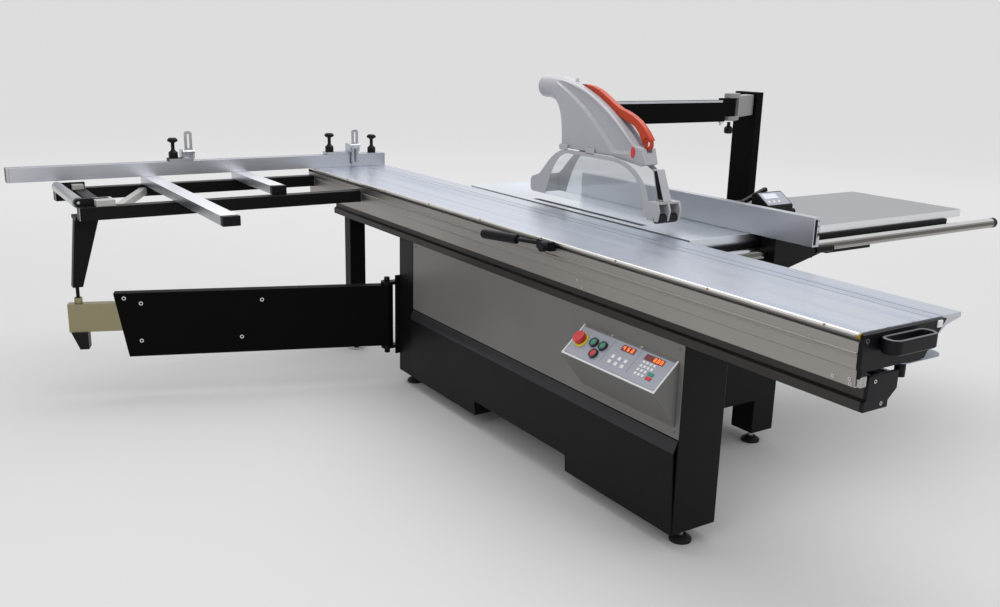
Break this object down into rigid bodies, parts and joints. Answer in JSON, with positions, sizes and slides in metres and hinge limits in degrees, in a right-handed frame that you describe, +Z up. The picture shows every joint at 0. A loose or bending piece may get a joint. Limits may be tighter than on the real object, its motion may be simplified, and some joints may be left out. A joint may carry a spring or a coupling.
{
  "type": "sliding table saw",
  "caption": "Free-standing sliding table saw with a long sliding table, crosscut outrigger with flip stops, rip fence, tilting blade unit and an overhead guard.",
  "frame": {"origin": "middle of the footprint, on the floor under the levelling feet", "axes": "+Y is the feed direction away from the operator, +X towards the rip fence side, +Z up"},
  "size_m": [3.393, 3.272, 1.316],
  "materials": {
    "black_powder_coat": "satin powder coat",
    "grey_paint": "satin paint",
    "silver_face": "printed membrane",
    "black_rubber": "moulded",
    "dark_aluminium": "anodised, dull",
    "ground_steel": "ground",
    "chrome_rail": "polished",
    "cast_iron_top": "ground and oiled",
    "sheet_grey": "satin",
    "anodised_aluminium": "natural anodised",
    "black_plastic": "fine texture",
    "cast_grey": "cast, painted",
    "zinc_plate": "zinc plated",
    "guard_plastic": "moulded",
    "clear_shield": "clear sheet in a grey frame",
    "orange_plastic": "moulded",
    "red_plastic": "moulded",
    "green_plastic": "moulded",
    "blue_sheet": "zinc blue"
  },
  "bodies": {
    "base": {"base_cabinet": "black_powder_coat", "side_panel": "grey_paint", "lower_panel": "black_powder_coat", "control_box": "grey_paint", "control_plate": "silver_face", "leveling_feet": "black_rubber", "slide_beam": "dark_aluminium", "guide_rods": "ground_steel", "beam_end_caps": "black_plastic", "beam_post": "black_powder_coat", "main_table": "cast_iron_top", "right_table": "sheet_grey", "rail_supports": "black_powder_coat", "rip_rail": "chrome_rail", "guard_post": "black_powder_coat", "arm_hinge": "black_powder_coat", "trunnions": "cast_iron_top", "guard_boom": "black_powder_coat", "guard_hood": "guard_plastic"},
    "tilt_unit": {"tilt_frame": "cast_iron_top"},
    "lift_unit": {"lift_carriage": "cast_iron_top", "main_motor": "sheet_grey", "drive_belt": "black_rubber", "riving_knife": "ground_steel"},
    "arbor_set": {"arbor": "ground_steel", "saw_blade": "ground_steel"},
    "motor_drive": {"motor_pulley": "ground_steel"},
    "scoring_set": {"scoring_blade": "ground_steel"},
    "carriage": {"sliding_table": "anodised_aluminium", "table_end_caps": "black_plastic", "push_handle": "black_plastic", "bearing_blocks": "cast_iron_top", "lock_plate": "blue_sheet", "outrigger_frame": "black_powder_coat", "support_bars": "anodised_aluminium", "corner_casting": "cast_grey", "outrigger_leg": "black_powder_coat"},
    "plunger": {"lock_plunger": "black_plastic"},
    "push_grip": {"side_grip": "black_plastic"},
    "grip_clamp": {"grip_knob": "black_plastic"},
    "work_roller": {"end_roller": "ground_steel"},
    "fence": {"crosscut_fence": "anodised_aluminium"},
    "extension": {"fence_extension": "anodised_aluminium"},
    "stop_left": {"left_stop": "black_plastic"},
    "finger_left": {"left_flip": "ground_steel"},
    "stop_right": {"right_stop": "black_plastic"},
    "finger_right": {"right_flip": "ground_steel"},
    "arm": {"swing_arm": "black_powder_coat"},
    "tube": {"arm_tube": "zinc_plate"},
    "rip_slide": {"rip_carrier": "black_powder_coat", "rip_readout": "black_plastic"},
    "rip_bar": {"rip_fence": "anodised_aluminium"},
    "rip_clamp": {"rip_lever": "black_plastic"},
    "shield": {"guard_shield": "clear_shield"},
    "shield_rollers": {"guard_rollers": "black_rubber"},
    "guard_lever": {"guard_handle": "orange_plastic"},
    "stop_mushroom": {"e_stop": "red_plastic"},
    "start_key": {"start_button": "green_plastic"},
    "second_start_key": {"second_start_button": "green_plastic"},
    "stop_key": {"stop_button": "red_plastic"}
  },
  "joints": [
    {"name": "blade_tilt", "type": "hinge", "parent": "base", "child": "tilt_unit", "pos_m": [0.0785, 0.026, 0.825], "axis": [0, -1, 0], "range_deg": [0, 45]},
    {"name": "blade_lift", "type": "slide", "parent": "tilt_unit", "child": "lift_unit", "axis": [0, 0, 1], "range_m": [0, 0.085]},
    {"name": "arbor_spin", "type": "hinge", "parent": "lift_unit", "child": "arbor_set", "pos_m": [0.0785, 0.026, 0.6], "axis": [1, 0, 0], "continuous": true},
    {"name": "motor_spin", "type": "hinge", "parent": "lift_unit", "child": "motor_drive", "pos_m": [0.0785, -0.154, 0.43], "axis": [1, 0, 0], "continuous": true},
    {"name": "scoring_spin", "type": "hinge", "parent": "tilt_unit", "child": "scoring_set", "pos_m": [0.0785, -0.264, 0.745], "axis": [1, 0, 0], "continuous": true},
    {"name": "table_slide", "type": "slide", "parent": "base", "child": "carriage", "axis": [0, 1, 0], "range_m": [-1.95, 0.4]},
    {"name": "lock_pull", "type": "slide", "parent": "carriage", "child": "plunger", "axis": [0, 0, -1], "range_m": [0, 0.012], "stiffness_N_per_m": 300},
    {"name": "grip_slide", "type": "slide", "parent": "carriage", "child": "push_grip", "axis": [0, 1, 0], "range_m": [-1, 1]},
    {"name": "grip_clamp_turn", "type": "hinge", "parent": "push_grip", "child": "grip_clamp", "pos_m": [-0.4015, -0.404, 0.808], "axis": [1, 0, 0], "range_deg": [0, 180]},
    {"name": "work_roller_spin", "type": "hinge", "parent": "carriage", "child": "work_roller", "pos_m": [-1.5115, 1.314, 0.803], "axis": [0, 1, 0], "continuous": true},
    {"name": "fence_swing", "type": "hinge", "parent": "carriage", "child": "fence", "pos_m": [-0.0315, 1.584, 0.825], "axis": [0, 0, 1], "range_deg": [-45, 45]},
    {"name": "extension_slide", "type": "slide", "parent": "fence", "child": "extension", "axis": [-1, 0, 0], "range_m": [0, 0.75]},
    {"name": "left_stop_slide", "type": "slide", "parent": "fence", "child": "stop_left", "axis": [1, 0, 0], "range_m": [-0.55, 0.25]},
    {"name": "right_stop_slide", "type": "slide", "parent": "fence", "child": "stop_right", "axis": [1, 0, 0], "range_m": [-0.3, 0.04]},
    {"name": "left_flip_turn", "type": "hinge", "parent": "stop_left", "child": "finger_left", "pos_m": [-0.9585, 1.542, 0.927], "axis": [1, 0, 0], "range_deg": [0, 180]},
    {"name": "right_flip_turn", "type": "hinge", "parent": "stop_right", "child": "finger_right", "pos_m": [-0.1545, 1.542, 0.927], "axis": [-1, 0, 0], "range_deg": [0, 85]},
    {"name": "arm_swing", "type": "hinge", "parent": "base", "child": "arm", "pos_m": [-0.3775, 0.748, 0.297], "axis": [0, 0, 1], "range_deg": [-18, 73]},
    {"name": "tube_slide", "type": "slide", "parent": "arm", "child": "tube", "axis": [-0.9397, 0.342, 0], "range_m": [-0.05, 0.35]},
    {"name": "rip_slide_travel", "type": "slide", "parent": "base", "child": "rip_slide", "axis": [1, 0, 0], "range_m": [-0.18, 0.62]},
    {"name": "rip_bar_slide", "type": "slide", "parent": "rip_slide", "child": "rip_bar", "axis": [0, 1, 0], "range_m": [-0.3, 0.3]},
    {"name": "rip_clamp_turn", "type": "hinge", "parent": "rip_slide", "child": "rip_clamp", "pos_m": [0.3715, -0.498, 0.906], "axis": [0, -1, 0], "range_deg": [0, 70]},
    {"name": "shield_lift", "type": "slide", "parent": "base", "child": "shield", "axis": [0, 0, 1], "range_m": [0, 0.1]},
    {"name": "shield_roller_spin", "type": "hinge", "parent": "shield", "child": "shield_rollers", "pos_m": [0.0785, -0.442, 0.869], "axis": [1, 0, 0], "continuous": true},
    {"name": "guard_lever_turn", "type": "hinge", "parent": "base", "child": "guard_lever", "pos_m": [0.0785, 0.016, 1.279], "axis": [-1, 0, 0], "range_deg": [0, 30]},
    {"name": "stop_mushroom_press", "type": "slide", "parent": "base", "child": "stop_mushroom", "axis": [0.6735, 0, -0.7392], "range_m": [0, 0.006], "stiffness_N_per_m": 600},
    {"name": "start_press", "type": "slide", "parent": "base", "child": "start_key", "axis": [0.6735, 0, -0.7392], "range_m": [0, 0.004], "stiffness_N_per_m": 500},
    {"name": "second_start_press", "type": "slide", "parent": "base", "child": "second_start_key", "axis": [0.6735, 0, -0.7392], "range_m": [0, 0.004], "stiffness_N_per_m": 500},
    {"name": "stop_press", "type": "slide", "parent": "base", "child": "stop_key", "axis": [0.6735, 0, -0.7392], "range_m": [0, 0.004], "stiffness_N_per_m": 500}
  ],
  "couplings": [
    {"joint": "motor_spin", "follows": "arbor_spin", "ratio": 0.76471}
  ]
}
